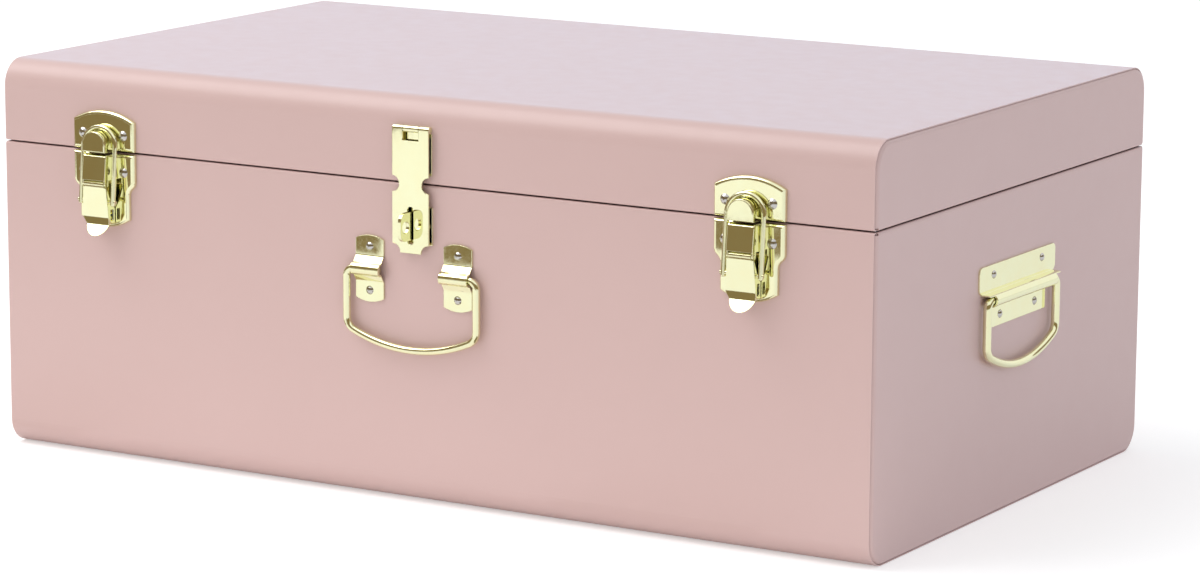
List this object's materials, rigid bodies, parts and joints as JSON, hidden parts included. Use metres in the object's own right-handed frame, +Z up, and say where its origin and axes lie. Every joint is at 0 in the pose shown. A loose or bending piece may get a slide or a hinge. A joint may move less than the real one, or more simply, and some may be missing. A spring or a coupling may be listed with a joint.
{
  "type": "metal storage trunk",
  "caption": "Long low sheet-metal storage trunk with a hinged lid, draw latches with wire bails, a hasp and staple, and swinging wire handles on the front and the ends.",
  "frame": {"origin": "middle of the underside", "axes": "+X to the right seen from the front, +Y to the back, +Z up; the latches face -Y"},
  "size_m": [0.6184, 0.3861, 0.241],
  "materials": {
    "painted_sheet": "satin pale pink paint",
    "plated_hardware": "bright pale gold plating",
    "rivet_metal": "polished"
  },
  "bodies": {
    "trunk": {"body_wrapper": "painted_sheet", "body_end_left": "painted_sheet", "body_end_right": "painted_sheet", "staple_plate": "plated_hardware", "staple": "plated_hardware", "front_handle_bracket_left": "plated_hardware", "front_handle_bracket_right": "plated_hardware", "latch_body_rivets": "rivet_metal", "staple_rivets": "rivet_metal", "front_handle_rivets": "rivet_metal", "hinge_body_rivets": "rivet_metal", "latch_left_base_plate": "plated_hardware", "latch_left_lever_pin": "plated_hardware", "end_handle_left_plate": "plated_hardware", "end_handle_left_rivets": "rivet_metal", "hinge_left_body_leaf": "plated_hardware", "hinge_left_pin": "plated_hardware", "latch_right_base_plate": "plated_hardware", "latch_right_lever_pin": "plated_hardware", "end_handle_right_plate": "plated_hardware", "end_handle_right_rivets": "rivet_metal", "hinge_right_body_leaf": "plated_hardware", "hinge_right_pin": "plated_hardware"},
    "lid": {"lid_wrapper": "painted_sheet", "lid_end_left": "painted_sheet", "lid_end_right": "painted_sheet", "latch_lid_rivets": "rivet_metal", "hasp_fixed_leaf": "plated_hardware", "hasp_pin": "plated_hardware", "hasp_lid_rivets": "rivet_metal", "hinge_lid_rivets": "rivet_metal", "latch_left_catch_plate": "plated_hardware", "hinge_left_lid_leaf": "plated_hardware", "latch_right_catch_plate": "plated_hardware", "hinge_right_lid_leaf": "plated_hardware"},
    "hasp": {"hasp_swing_leaf": "plated_hardware"},
    "front_handle": {"front_handle": "plated_hardware"},
    "left_lever": {"latch_left_lever": "plated_hardware"},
    "left_bail": {"latch_left_bail": "plated_hardware"},
    "left_end_handle": {"end_handle_left": "plated_hardware"},
    "right_lever": {"latch_right_lever": "plated_hardware"},
    "right_bail": {"latch_right_bail": "plated_hardware"},
    "right_end_handle": {"end_handle_right": "plated_hardware"}
  },
  "joints": [
    {"name": "lid_hinge", "type": "hinge", "parent": "trunk", "child": "lid", "pos_m": [0, 0.18361, 0.191], "axis": [-1, 0, 0], "range_deg": [0, 100]},
    {"name": "hasp_hinge", "type": "hinge", "parent": "lid", "child": "hasp", "pos_m": [0, -0.1828, 0.2234], "axis": [-1, 0, 0], "range_deg": [0, 180]},
    {"name": "front_handle_pivot", "type": "hinge", "parent": "trunk", "child": "front_handle", "pos_m": [0, -0.1843, 0.1381], "axis": [-1, 0, 0], "range_deg": [0, 170]},
    {"name": "right_end_handle_pivot", "type": "hinge", "parent": "trunk", "child": "right_end_handle", "pos_m": [0.3052, 0, 0.1305], "axis": [0, -1, 0], "range_deg": [0, 95]},
    {"name": "left_end_handle_pivot", "type": "hinge", "parent": "trunk", "child": "left_end_handle", "pos_m": [-0.3052, 0, 0.1305], "axis": [0, 1, 0], "range_deg": [0, 95]},
    {"name": "left_lever_pivot", "type": "hinge", "parent": "trunk", "child": "left_lever", "pos_m": [-0.223, -0.1918, 0.1723], "axis": [-1, 0, 0], "range_deg": [0, 90]},
    {"name": "left_bail_pivot", "type": "hinge", "parent": "left_lever", "child": "left_bail", "pos_m": [-0.223, -0.1901, 0.1616], "axis": [-1, 0, 0], "range_deg": [-104, 0]},
    {"name": "right_lever_pivot", "type": "hinge", "parent": "trunk", "child": "right_lever", "pos_m": [0.223, -0.1918, 0.1723], "axis": [-1, 0, 0], "range_deg": [0, 90]},
    {"name": "right_bail_pivot", "type": "hinge", "parent": "right_lever", "child": "right_bail", "pos_m": [0.223, -0.1901, 0.1616], "axis": [-1, 0, 0], "range_deg": [-104, 0]}
  ],
  "couplings": [
    {"joint": "left_bail_pivot", "follows": "left_lever_pivot", "ratio": -1.15},
    {"joint": "right_bail_pivot", "follows": "right_lever_pivot", "ratio": -1.15}
  ]
}
